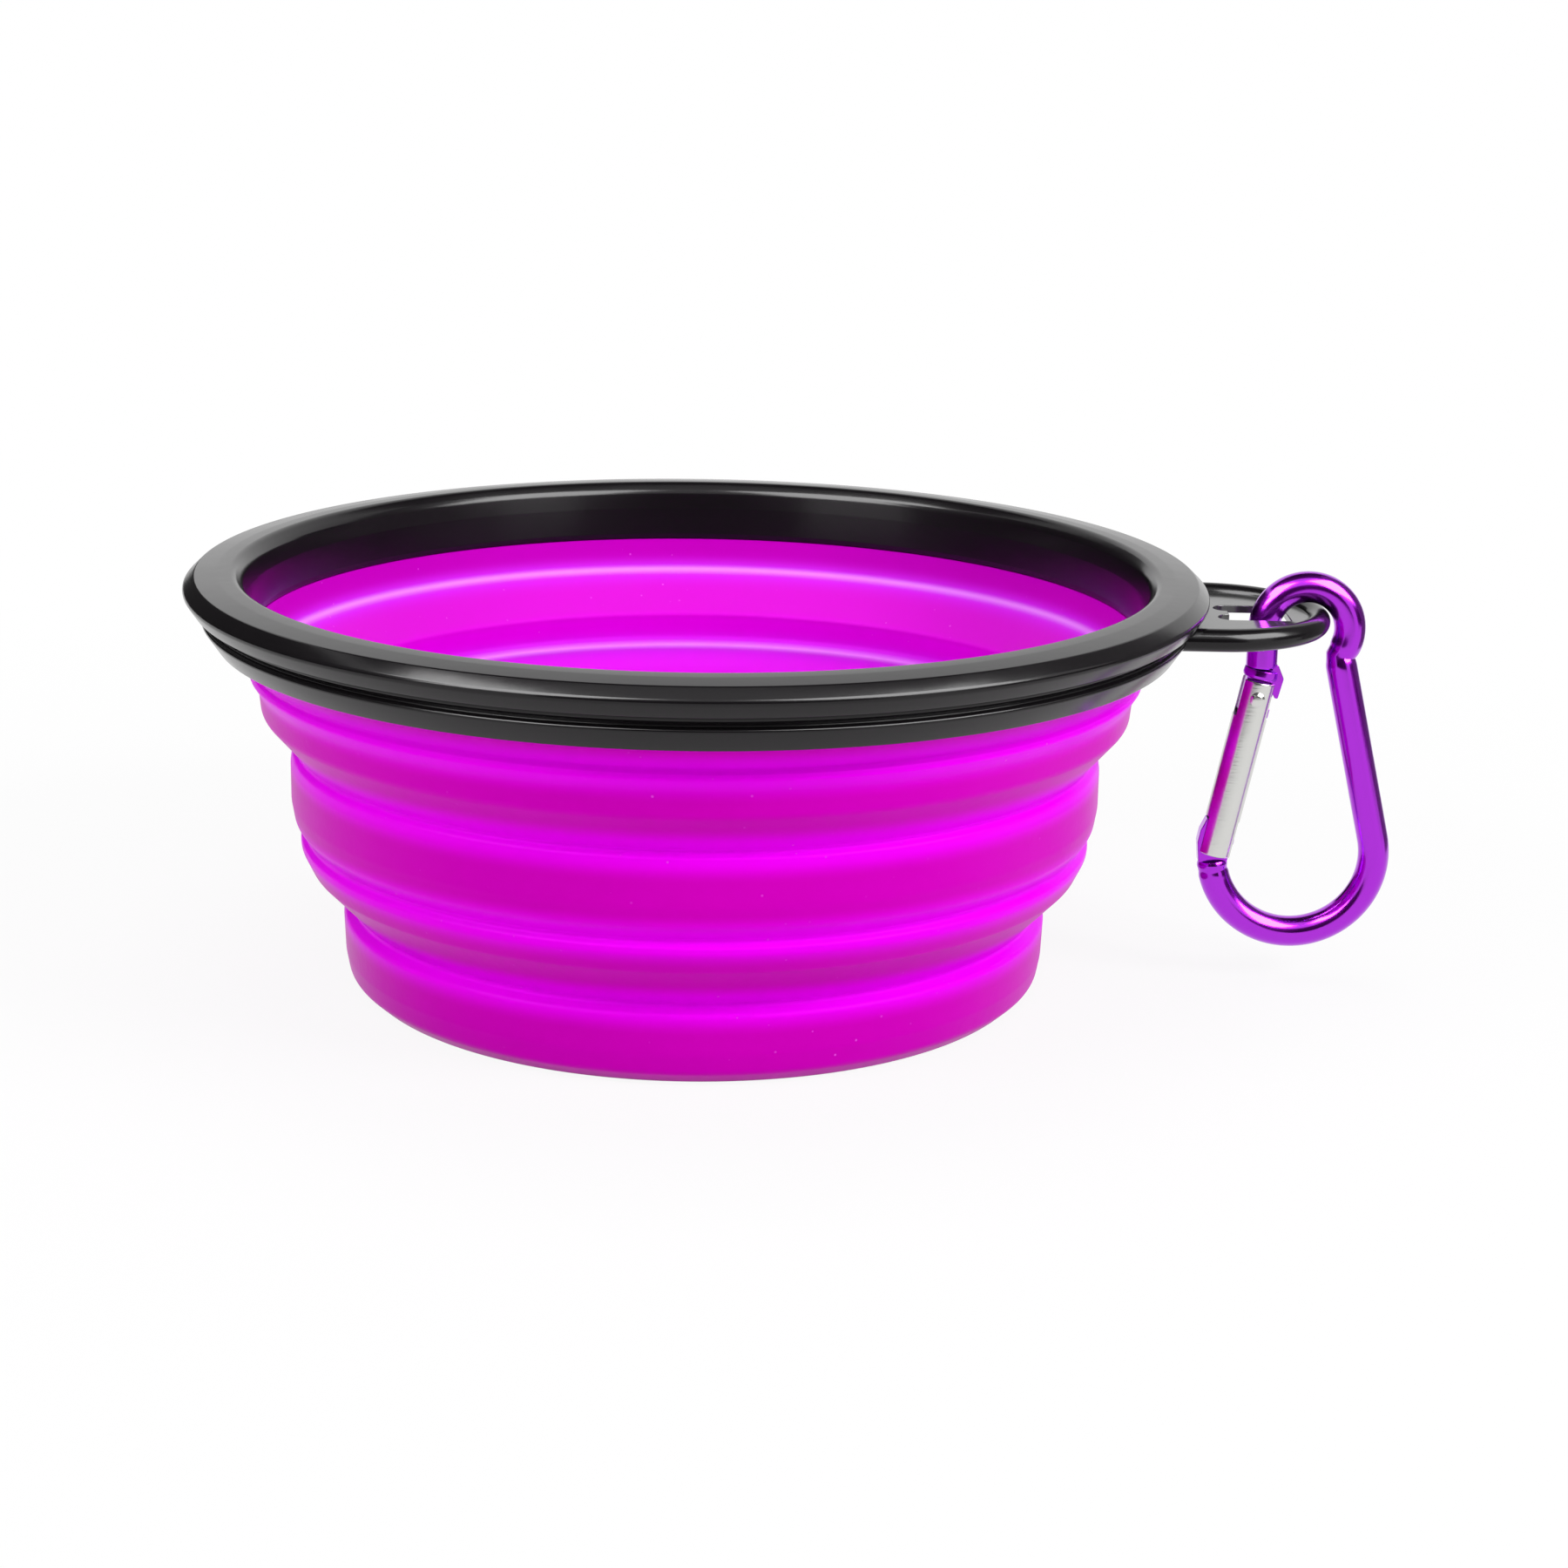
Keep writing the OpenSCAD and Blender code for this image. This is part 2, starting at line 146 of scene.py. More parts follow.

# %% [markdown]
# ## Silicone
#
# The bowl is moulded in magenta silicone. Its colour is very strong, its surface is satin
# rather than shiny, and a little light passes through its thin walls. It also collects
# fine dust, which shows as small pale specks. A Voronoi texture cut to a narrow range makes
# the specks. Under them the colour carries painted light and shade: brighter bands at the
# hinge lines, painted highlights along the inner creases and painted shade higher up
# inside. The material reads it from a colour attribute, which each piece gets below.

# %% Silicone
silicone, tree, shader = new_material(
    "magenta_silicone", (0.6, 0.0, 0.52), 0.34,
    Subsurface_Weight=0.2, Subsurface_Scale=0.0015, Specular_IOR_Level=0.06)
shader.inputs["Subsurface Radius"].default_value = (1.0, 0.05, 0.8)
shader.inputs["Specular Tint"].default_value = (0.9, 0.06, 1.0, 1)
SPECKS_PER_METRE, SPECK_CORE, SPECK_EDGE = 420.0, 0.03, 0.09
DUST_COLOUR = (0.8, 0.1, 0.78, 1)
coords = add(tree, "ShaderNodeTexCoord")
specks = add(tree, "ShaderNodeTexVoronoi", Scale=SPECKS_PER_METRE, Randomness=1.0)
tree.links.new(coords.outputs["Object"], specks.inputs["Vector"])
dust = vary(tree, specks.outputs["Distance"], 1.0, 0.0, SPECK_CORE, SPECK_EDGE)
patches = vary(tree, object_noise(tree, 60.0), 0.1, 1.0, 0.45, 0.7)
both = add(tree, "ShaderNodeMath", {"operation": "MULTIPLY"})
tree.links.new(dust, both.inputs[0])
tree.links.new(patches, both.inputs[1])
colour = add(tree, "ShaderNodeMix", {"data_type": "RGBA"})
colour.inputs[7].default_value = DUST_COLOUR
# The wall's colour, carrying its painted light, painted highlights and painted shade
wall_colour = add(tree, "ShaderNodeAttribute", {"attribute_name": "painted_light_and_shade"})
tree.links.new(wall_colour.outputs["Color"], colour.inputs[6])
tree.links.new(both.outputs[0], colour.inputs[0])
tree.links.new(colour.outputs[2], shader.inputs["Base Color"])
uneven(tree, shader, 35.0, 0.3, 0.4)
bump(tree, shader, object_noise(tree, 900.0, 2.0), 0.12, 0.0002)
print("made", silicone.name)

# %% [markdown]
# ## Rim plastic
#
# The rim is moulded in black polypropylene. It is darker than it looks, because its
# satin surface picks up the white room. Slow noise in the roughness gives the soft,
# slightly uneven reflections of a moulded part. The web of the tab was against the
# polished side of the mould, so it gets a glossier finish of its own.

# %% Rim plastic
rim_plastic, tree, shader = new_material(
    "black_rim_plastic", (0.006, 0.005, 0.006), 0.19, Specular_IOR_Level=0.29)
uneven(tree, shader, 45.0, 0.16, 0.22)
bump(tree, shader, object_noise(tree, 260.0, 4.0), 0.06, 0.0003)

web_plastic, tree, shader = new_material(
    "polished_web_plastic", (0.04, 0.04, 0.04), 0.12, Specular_IOR_Level=0.8)
uneven(tree, shader, 90.0, 0.1, 0.17)
bump(tree, shader, object_noise(tree, 260.0, 4.0), 0.05, 0.0003)
print("made", rim_plastic.name, web_plastic.name)

# %% [markdown]
# ## Metals
#
# The hook's rod is aluminium that was polished, then anodised and dyed purple, so the
# metal itself reflects in purple. The narrow groove above the nose is painted nearly
# black, as painted shade. The gate and its pins are bare bright metal. Fine scratches run
# round the gate, where it was turned, and are a bump too small to outline.

# %% Anodised rod, bright gate and pin steel
anodised, tree, shader = new_material(
    "purple_anodised", (0.42, 0.012, 0.69), 0.18, Metallic=1.0, Coat_Weight=0.6,
    Coat_Roughness=0.1)
uneven(tree, shader, 160.0, 0.15, 0.23)
bump(tree, shader, object_noise(tree, 700.0, 3.0), 0.025, 0.0002)

# Nearly black metal for the groove above the nose: painted shade
groove_shade_metal = new_material(
    "painted_shade_groove_metal", (0.05, 0.002, 0.09), 0.38, Metallic=1.0)[0]

bright_metal, tree, shader = new_material(
    "bright_gate_metal", (0.66, 0.66, 0.64), 0.22, Metallic=1.0)
uneven(tree, shader, 240.0, 0.18, 0.26)
bump(tree, shader, object_noise(tree, 400.0, 2.0, (1, 1, 9)), 0.1, 0.0001)

pin_steel, tree, shader = new_material(
    "pin_steel", (0.72, 0.72, 0.7), 0.28, Metallic=1.0)
uneven(tree, shader, 600.0, 0.29, 0.38)
print("made", anodised.name, bright_metal.name, pin_steel.name)

# %% [markdown]
# ## Turning an outline
#
# Every round piece of the bowl is a body of revolution: one closed outline, drawn in
# radius and height, and carried round the upright axis. Screw modifiers and bmesh.spin
# can do this. Geometry Nodes are used here, because the rule is then visible as a tree:
# the outline becomes a curve, a circle is the path, and Curve to Mesh sweeps one along
# the other. The tree is shared, and each piece sets its own number of steps and material.

# %% The turning tree
def new_tree(name, sockets):
    tree = bpy.data.node_groups.new(name, "GeometryNodeTree")
    tree.interface.new_socket("Geometry", in_out="INPUT", socket_type="NodeSocketGeometry")
    for label, kind in sockets:
        tree.interface.new_socket(label, in_out="INPUT", socket_type=kind)
    tree.interface.new_socket("Geometry", in_out="OUTPUT", socket_type="NodeSocketGeometry")
    return tree, tree.nodes.new("NodeGroupInput"), tree.nodes.new("NodeGroupOutput")


def end_tree(tree, given, last, out):
    """Ends a tree in Realize Instances and Set Material, which the export needs."""
    real = add(tree, "GeometryNodeRealizeInstances")
    paint = add(tree, "GeometryNodeSetMaterial")
    tree.links.new(last, real.inputs[0])
    tree.links.new(real.outputs[0], paint.inputs[0])
    tree.links.new(given.outputs["Material"], paint.inputs["Material"])
    tree.links.new(paint.outputs[0], out.inputs[0])


# The path's own radius doesn't show, because each outline is shifted inwards by it.
PATH_R = 0.05
turning, given, out = new_tree("turn_outline", [
    ("Steps", "NodeSocketInt"), ("Path Radius", "NodeSocketFloat"),
    ("Material", "NodeSocketMaterial")])
outline_curve = add(turning, "GeometryNodeMeshToCurve")
path = add(turning, "GeometryNodeCurvePrimitiveCircle")
sweep = add(turning, "GeometryNodeCurveToMesh")
turning.links.new(given.outputs["Geometry"], outline_curve.inputs[0])
turning.links.new(given.outputs["Steps"], path.inputs["Resolution"])
turning.links.new(given.outputs["Path Radius"], path.inputs["Radius"])
turning.links.new(path.outputs[0], sweep.inputs["Curve"])
turning.links.new(outline_curve.outputs[0], sweep.inputs["Profile Curve"])
end_tree(turning, given, sweep.outputs[0], out)
print("turning tree:", len(turning.nodes), "nodes")

# %% [markdown]
# A modifier's inputs are set by each socket's identifier. The same step serves every tree
# below.

# %% Running a tree and keeping its mesh
SMOOTH_ANGLE, PLATE_ANGLE = 35.0, 30.0
WELD = 1e-6


def run_tree(name, mesh, tree, values):
    obj = bpy.data.objects.new(name, mesh)
    bpy.context.scene.collection.objects.link(obj)
    modifier = obj.modifiers.new(name, "NODES")
    modifier.node_group = tree
    for item in tree.interface.items_tree:
        if item.item_type == "SOCKET" and item.in_out == "INPUT" and item.name in values:
            modifier[item.identifier] = values[item.name]
    depsgraph = bpy.context.evaluated_depsgraph_get()
    made = bpy.data.meshes.new_from_object(obj.evaluated_get(depsgraph))
    obj.modifiers.clear()
    obj.data = made
    made.name = name
    tidy_mesh(obj)
    return obj


def tidy_mesh(obj, smooth_angle=SMOOTH_ANGLE):
    """Merges doubles, points the normals out and smooths all but the sharp edges."""
    shape = bmesh.new()
    shape.from_mesh(obj.data)
    bmesh.ops.remove_doubles(shape, verts=shape.verts, dist=WELD)
    bmesh.ops.recalc_face_normals(shape, faces=shape.faces)
    if shape.calc_volume(signed=True) < 0:
        bmesh.ops.reverse_faces(shape, faces=shape.faces)
    open_edges = sum(1 for e in shape.edges if not e.is_manifold)
    shape.to_mesh(obj.data)
    shape.free()
    obj.data.shade_smooth()
    obj.data.set_sharp_from_angle(angle=math.radians(smooth_angle))
    print("%s: %d faces, %d open edges" % (obj.name, len(obj.data.polygons), open_edges))


SIDE_SHARE = 0.49


def rounded(corners, steps=7):
    """An outline whose corners, given as (x, y, radius), are arcs of those radii.

    An arc takes at most SIDE_SHARE of each side that it joins, so two never overlap.
    """
    points = []
    count = len(corners)
    for i, (x, y, radius) in enumerate(corners):
        here = Vector((x, y))
        before = Vector(corners[i - 1][:2]) - here
        after = Vector(corners[(i + 1) % count][:2]) - here
        if radius <= 0:
            points.append(here)
            continue
        half = before.angle(after) / 2
        reach = min(radius / math.tan(half), before.length * SIDE_SHARE,
                    after.length * SIDE_SHARE)
        radius = reach * math.tan(half)
        middle = here + (before.normalized() + after.normalized()).normalized() * (
            radius / math.sin(half))
        first = here + before.normalized() * reach - middle
        last = here + after.normalized() * reach - middle
        turn = first.angle_signed(last)
        for k in range(steps + 1):
            a = -turn * k / steps
            points.append(middle + Vector((
                first.x * math.cos(a) - first.y * math.sin(a),
                first.x * math.sin(a) + first.y * math.cos(a))))
    return points


def finely(points, longest):
    """Splits the long straight stretches of an outline, so that colour can change there."""
    split = []
    for i, here in enumerate(points):
        after = points[(i + 1) % len(points)]
        parts = max(1, math.ceil((after - here).length / longest))
        split += [here.lerp(after, k / parts) for k in range(parts)]
    return split


def turned(name, corners, material, steps=256, longest=None):
    """A ring with the given outline of (radius, height, corner radius), in millimetres."""
    points = rounded(corners)
    if longest:
        points = finely(points, longest)
    mesh = bpy.data.meshes.new(name)
    count = len(points)
    mesh.from_pydata([(p.x * MM - PATH_R, -p.y * MM, 0) for p in points],
                     [(i, (i + 1) % count) for i in range(count)], [])
    return run_tree(name, mesh, turning,
                    {"Steps": steps, "Path Radius": PATH_R, "Material": material})


print("turning helper ready")

# %% [markdown]
# ## The walls of the bowl
#
# The bowl is one moulding that folds at four hinge lines. It is made in four pieces, which
# meet at the lower three of those lines, where the real walls have a crease anyway. The
# fourth line lies inside the upper wall, under the collar. At each hinge line the wall
# steps in under a small ledge with a rounded edge, and that edge catches the light as a
# thin bright line. Inside, the wall runs down, turns in over a soft hollow, and drops off
# a crisper edge. The upper wall reaches from the rim to the middle band.

# %% Painted light and shade of a wall
# Away from the hinge lines the wall is deep magenta. Near each hinge line it is painted
# brighter, as painted light on the ledge and in the crease above it. Colours are red,
# green and blue.
DEEP, HINGE_LIGHT = (0.6, 0.0, 0.48), (0.8, 0.0, 0.85)
HINGE_LIGHT_NEAR, HINGE_LIGHT_FAR = 1.0, 3.6
# Inside, the upper fold is painted darker than the band below it, and the collar under
# the rim darker still: painted shade. Each hinge line carries a painted highlight, a pale
# line in a violet halo, and the ledge on top of the middle band is painted brighter than
# the wall under it: painted light.
BAND_IN, FOLD_IN_SHADE, COLLAR_IN_SHADE = (0.76, 0.0, 0.76), (0.66, 0.008, 0.62), (0.55, 0.0, 0.5)
FOLD_FROM, COLLAR_FROM, CHANGE = 35.0, 41.5, 2.0
VIOLET_HALO, CREASE_HIGHLIGHT, LIT_LEDGE = (0.66, 0.02, 0.88), (0.82, 0.26, 0.98), (0.83, 0.02, 0.92)
CREASE_HIGHLIGHT_Z, CREASE_HIGHLIGHT_HALF, VIOLET_HALO_HALF = (20.0, 31.65, 41.6), 0.38, 1.3
LIT_LEDGE_DEPTH, LIT_LEDGE_FADE = 2.0, 3.0


def mixed(one, two, share):
    return tuple(a + (b - a) * share for a, b in zip(one, two))


def step_up(value, low, high):
    """0 up to low and 1 from high on, with a smooth step between them."""
    t = min(max((value - low) / (high - low), 0.0), 1.0)
    return t * t * (3 - 2 * t)


def outside_colour(z):
    # Painted light: the wall is brighter near each hinge line
    from_hinge = min(abs(z - hinge) for hinge in HINGE_Z)
    return mixed(HINGE_LIGHT, DEEP, step_up(from_hinge, HINGE_LIGHT_NEAR, HINGE_LIGHT_FAR))


def inside_colour(z):
    # Painted shade: darker higher up inside, darkest on the collar under the rim
    colour = mixed(BAND_IN, FOLD_IN_SHADE, step_up(z, FOLD_FROM, FOLD_FROM + CHANGE))
    colour = mixed(colour, COLLAR_IN_SHADE, step_up(z, COLLAR_FROM, COLLAR_FROM + CHANGE))
    # Painted light: the ledge just under the middle band's top is brighter
    under = BAND_TOP - z
    if under > 0:
        fade = step_up(under, LIT_LEDGE_DEPTH, LIT_LEDGE_DEPTH + LIT_LEDGE_FADE)
        colour = mixed(LIT_LEDGE, colour, fade)
    # Painted highlight: a pale line in a violet halo at each inner crease
    from_crease = min(abs(z - crease) for crease in CREASE_HIGHLIGHT_Z)
    colour = mixed(colour, VIOLET_HALO, math.exp(-(from_crease / VIOLET_HALO_HALF) ** 2))
    return mixed(colour, CREASE_HIGHLIGHT, math.exp(-(from_crease / CREASE_HIGHLIGHT_HALF) ** 2))


# A normal above the first faces outwards and one below the second inwards. Between them
# the two colours mix.
FACES_OUT, FACES_IN = 0.25, -0.25


def painted_light_and_shade(obj):
    """Stores the wall's colour: deep magenta with painted light, highlights and shade."""
    colours = []
    for vert in obj.data.vertices:
        z = vert.co.z / MM
        reach = math.hypot(vert.co.x, vert.co.y)
        outward = vert.normal.x * vert.co.x + vert.normal.y * vert.co.y
        facing = outward / max(reach, 1e-9)
        outer = step_up(facing, FACES_IN, FACES_OUT)
        colours += [*mixed(inside_colour(z), outside_colour(z), outer), 1.0]
    layer = obj.data.attributes.new("painted_light_and_shade", "FLOAT_COLOR", "POINT")
    layer.data.foreach_set("color", colours)
    print("%s: dyed %d points" % (obj.name, len(obj.data.vertices)))


# %% Collar and upper fold
BEAD_TOP = 50.8
# The longest straight stretch between two dyed points of a wall
FINE = 0.4
upper_wall = turned("upper_wall", [
    (49.75, BAND_TOP, 0.0), (50.95, BAND_TOP, 0.0), (51.05, 31.35, 0.6),
    (55.3, 36.2, 1.8), (55.6, 39.2, 2.2), (56.75, 41.0, 0.5), (56.55, 41.6, 0.3),
    (56.15, 42.1, 0.5), (58.4, COLLAR_TOP, 0.0), (59.45, COLLAR_TOP, 0.0),
    (59.45, BEAD_TOP, 0.5), (58.05, BEAD_TOP, 0.5), (58.05, COLLAR_TOP, 0.0),
    (RIM_BORE, COLLAR_TOP, 0.0), (55.45, 41.7, 2.2), (50.0, 36.1, 0.6),
    (50.35, 32.9, 0.9), (49.8, 31.6, 0.6)], silicone, longest=FINE)
painted_light_and_shade(upper_wall)
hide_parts("bowl_collar", "upper_fold")

# %% Middle band
middle_band = turned("middle_band_wall", [
    (48.7, BAND_FOOT, 0.0), (50.05, BAND_FOOT, 0.0), (50.1, 20.3, 0.4), (51.4, 22.0, 1.6),
    (51.8, 24.4, 4.0), (51.8, 29.0, 2.5), (51.6, 30.35, 0.7), (51.0, 30.75, 0.4),
    (50.95, BAND_TOP, 0.0), (49.75, BAND_TOP, 0.0)], silicone, longest=FINE)
painted_light_and_shade(middle_band)
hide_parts("middle_band")

# %% Lower fold
lower_fold = turned("lower_fold_wall", [
    (42.8, CUP_TOP, 0.0), (44.2, CUP_TOP, 0.0), (44.3, 10.5, 0.6), (49.5, 15.9, 1.8),
    (50.7, 18.4, 1.5), (50.7, 19.25, 0.5), (50.1, 19.7, 0.4), (50.05, BAND_FOOT, 0.0),
    (48.7, BAND_FOOT, 0.0), (43.2, 15.6, 0.6), (42.8, 14.4, 0.3)], silicone, longest=FINE)
painted_light_and_shade(lower_fold)
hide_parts("lower_fold")

# %% Base cup
# The cup is wide and plain, so its points may lie further apart.
base_cup = turned("base_cup_wall", [
    (0.0, 0.0, 0.0), (42.9, 0.0, 1.1), (44.8, 1.7, 1.6), (45.25, 4.2, 3.0),
    (45.45, 9.1, 0.9), (44.3, 9.85, 0.4), (44.2, CUP_TOP, 0.0), (42.8, CUP_TOP, 0.0),
    (43.1, 3.6, 2.6), (40.0, 2.2, 1.2), (0.0, 2.2, 0.0)], silicone, longest=0.6)
painted_light_and_shade(base_cup)
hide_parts("base_cup")

# %% [markdown]
# ## The rim
#
# Two black rings clamp the bead at the top of the bowl. The top ring has a broad crest
# that falls a little to the outside and ends in a tight shoulder, and its inner wall
# widens upwards like a funnel. The lower ring shows under it as a thin lip, a groove and
# a sloping skirt. Both are turned too, from outlines with a radius at every corner,
# because a moulded rim has no sharp edge that a tongue could meet.

# %% Rim rings
# The seam is where the two rings meet outside. The crest carries the longest highlight,
# so the top ring has more steps than the other pieces.
SEAM_Z, CREST_STEPS = 49.85, 320
rim_top = turned("rim_top", [
    (RIM_BORE, COLLAR_TOP, 0.3), (57.9, COLLAR_TOP, 0.0), (57.9, 52.3, 0.0),
    (61.8, 52.3, 0.0), (61.8, SEAM_Z, 0.0), (63.45, SEAM_Z, 0.25), (64.8, 51.85, 0.7),
    (63.2, 53.38, 0.5), (60.4, 53.72, 6.0), (58.25, 53.82, 1.1), (57.2, 52.6, 1.8),
    (56.8, 50.2, 3.5), (56.35, 46.6, 1.0)],
    rim_plastic, steps=CREST_STEPS)
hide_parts("rim_top_ring")
rim_lower = turned("rim_lower", [
    (59.6, 45.45, 0.2), (60.7, 45.4, 0.3), (62.6, 48.2, 0.35), (61.7, 48.5, 0.15),
    (61.9, 48.8, 0.1), (62.5, 49.3, 0.3), (62.5, SEAM_Z, 0.1), (61.65, SEAM_Z, 0.0),
    (61.65, 52.15, 0.2), (59.6, 52.15, 0.2)], rim_plastic)
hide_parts("rim_lower_ring")

# %% [markdown]
# ## Sweeping a rod
#
# The tab's border, the hook's rod and the spring are all rods that follow a path. A second
# tree sweeps a circle along a path. The points of the path carry a thickness, which lets
# the rod swell or narrow, and the circle can be pressed a little flat on its four sides.

# %% The rod tree
rodding, given, out = new_tree("sweep_rod", [
    ("Rod Radius", "NodeSocketFloat"), ("Flat", "NodeSocketFloat"),
    ("Sides", "NodeSocketInt"), ("Material", "NodeSocketMaterial")])
path_curve = add(rodding, "GeometryNodeMeshToCurve")
circle = add(rodding, "GeometryNodeCurvePrimitiveCircle")
place = add(rodding, "GeometryNodeInputPosition")
low = add(rodding, "ShaderNodeVectorMath", {"operation": "MAXIMUM"})
high = add(rodding, "ShaderNodeVectorMath", {"operation": "MINIMUM"})
plus = add(rodding, "ShaderNodeCombineXYZ")
minus = add(rodding, "ShaderNodeVectorMath", {"operation": "SCALE"})
pressed = add(rodding, "GeometryNodeSetPosition")
thickness = add(rodding, "GeometryNodeInputNamedAttribute", {"data_type": "FLOAT"})
thickness.inputs["Name"].default_value = "thickness"
rod_mesh = add(rodding, "GeometryNodeCurveToMesh")
rod_mesh.inputs["Fill Caps"].default_value = True
minus.inputs["Scale"].default_value = -1.0
links = rodding.links
links.new(given.outputs["Geometry"], path_curve.inputs[0])
links.new(given.outputs["Sides"], circle.inputs["Resolution"])
links.new(given.outputs["Rod Radius"], circle.inputs["Radius"])
for axis in ("X", "Y", "Z"):
    links.new(given.outputs["Flat"], plus.inputs[axis])
links.new(plus.outputs[0], minus.inputs[0])
links.new(place.outputs[0], low.inputs[0])
links.new(minus.outputs[0], low.inputs[1])
links.new(low.outputs[0], high.inputs[0])
links.new(plus.outputs[0], high.inputs[1])
links.new(circle.outputs[0], pressed.inputs["Geometry"])
links.new(high.outputs[0], pressed.inputs["Position"])
links.new(path_curve.outputs[0], rod_mesh.inputs["Curve"])
links.new(pressed.outputs[0], rod_mesh.inputs["Profile Curve"])
links.new(thickness.outputs["Attribute"], rod_mesh.inputs["Scale"])
end_tree(rodding, given, rod_mesh.outputs[0], out)
print("rod tree:", len(rodding.nodes), "nodes")

# %% A rod along a path
def rod(name, points, radius, material, sides=32, flat=1.0, swell=None):
    """points are (x, y, z) in millimetres; swell(i) gives the thickness at point i."""
    count = len(points)
    mesh = bpy.data.meshes.new(name)
    mesh.from_pydata([Vector(p) * MM for p in points],
                     [(i, i + 1) for i in range(count - 1)], [])
    local = mesh.attributes.new("thickness", "FLOAT", "POINT")
    local.data.foreach_set("value", [
        swell(i) if swell else 1.0 for i in range(count)])
    return run_tree(name, mesh, rodding, {
        "Rod Radius": radius * MM, "Flat": radius * flat * MM, "Sides": sides,
        "Material": material})


def arc(middle, radius, start, end, steps):
    """Points on an arc in a flat plane, with the angles in radians."""
    return [(middle[0] + radius * math.cos(start + (end - start) * i / steps),
             middle[1] + radius * math.sin(start + (end - start) * i / steps))
            for i in range(steps + 1)]


print("rod helper ready")

# %% [markdown]
# ## The hanging tab
#
# The tab is a thin flat web with a round border. The web has a slot that the snap hook
# passes through, and the inner end of the slot has two round lobes. The border is a rod,
# and the web is a flat outline with a hole that is given a thickness.

# %% Tab border
# The far end of the bar's middle line, the radius of its round end, the height of its
# middle, its own radius, and where inside the lower ring the bar starts
TAB_TIP, TAB_END_R, BAR_Z, BAR_R, BAR_START = 79.0, 13.8, 48.3, 1.45, 59.5
QUARTER = math.pi / 2
tab_mid = TAB_TIP - TAB_END_R
border = [(BAR_START, -TAB_END_R)]
border += arc((tab_mid, 0), TAB_END_R, -QUARTER, QUARTER, 48)
border += [(BAR_START, TAB_END_R)]
tab_border = rod("tab_border", [(x, y, BAR_Z) for x, y in border], BAR_R, rim_plastic)
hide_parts("rim_lower_ring")

# %% Tab web with its slot
PLATE_BEVEL, SAME_PLANE = 0.12, 0.01


def plate(name, outlines, low, high, place, material, bevel=PLATE_BEVEL):
    """A flat plate from closed outlines, the first its edge and the others its holes."""
    shape = bmesh.new()
    loops = []
    for outline in outlines:
        verts = [shape.verts.new((x, y, low)) for x, y in outline]
        loops += [shape.edges.new((verts[i - 1], verts[i])) for i in range(len(verts))]
    bmesh.ops.triangle_fill(shape, edges=loops, use_beauty=True)
    bmesh.ops.dissolve_limit(shape, angle_limit=SAME_PLANE, verts=shape.verts,
                             edges=shape.edges)
    grown = bmesh.ops.extrude_face_region(shape, geom=list(shape.faces))["geom"]
    bmesh.ops.translate(shape, vec=(0, 0, high - low),
                        verts=[v for v in grown if isinstance(v, bmesh.types.BMVert)])
    bmesh.ops.recalc_face_normals(shape, faces=shape.faces)
    for vert in shape.verts:
        vert.co = place(vert.co) * MM
    mesh = bpy.data.meshes.new(name)
    shape.to_mesh(mesh)
    shape.free()
    obj = bpy.data.objects.new(name, mesh)
    bpy.context.scene.collection.objects.link(obj)
    mesh.materials.append(material)
    tidy_mesh(obj, PLATE_ANGLE)
    edge = obj.modifiers.new("edge", "BEVEL")
    edge.width, edge.segments, edge.limit_method = bevel * MM, 3, "ANGLE"
    edge.angle_limit = math.radians(40)
    edge.harden_normals = True
    return obj


# The slot's inner and outer end, half its width, and the radius of its two lobes
slot_in, slot_out, slot_y, lobe_r = 67.6, 75.0, 4.3, 1.63
lobe_y = slot_y - lobe_r
slot = [(slot_out, -slot_y), (slot_out, slot_y), (slot_in, slot_y)]
slot += arc((slot_in, lobe_y), lobe_r, QUARTER, 3 * QUARTER, 12)[1:]
slot += arc((slot_in, -lobe_y), lobe_r, QUARTER, 3 * QUARTER, 12)
WEB_START, WEB_HALF = 60.2, 0.5
web = [(WEB_START, -TAB_END_R)]
web += arc((tab_mid, 0), TAB_END_R, -QUARTER, QUARTER, 40)
web += [(WEB_START, TAB_END_R)]
tab_web = plate("tab_web", [web, slot], BAR_Z - WEB_HALF, BAR_Z + WEB_HALF,
                lambda p: Vector(p), web_plastic)
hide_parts("rim_lower_ring")

# %% [markdown]
# ## The snap hook's rod
#
# The rod is bent round a wide bow at the bottom and a small bend at the top, with a
# straight leg between them. It is drawn in its own upright plane, measured from the middle
# of the bow, and then carried into place. Where the leg meets the small bend the rod was
# pinched in bending, so it narrows there for a moment. It narrows a little at both ends
# too, where it was pressed.

# %% The hook's planes
def in_hook(p):
    """From the hook's own plane to the bowl's frame; the third value is its depth."""
    return Vector((HOOK_X + p[0], -(p[2] if len(p) > 2 else 0.0), BOW_Z + p[1]))


def in_gate(p):
    """From the gate's own line, measured from its hinge pin, to the bowl's frame."""
    x, y = p[0], p[1] + PIN_UP
    c, s = math.cos(GATE_LEAN), math.sin(GATE_LEAN)
    return in_hook((-BOW_R * math.cos(SHOULDER_A) + x * c + y * s,
                    -BOW_R * math.sin(SHOULDER_A) - x * s + y * c,
                    p[2] if len(p) > 2 else 0.0))


neck = (HOOK_R * math.cos(NECK_A), HOOK_RISE - HOOK_R * math.sin(NECK_A))
leg_a = math.atan2(neck[1], neck[0]) - math.acos(BOW_R / math.hypot(*neck))
leg_foot = (BOW_R * math.cos(leg_a), BOW_R * math.sin(leg_a))
print("leg leans %.1f degrees; gate pin at" % math.degrees(leg_a), tuple(in_gate((0, 0))))

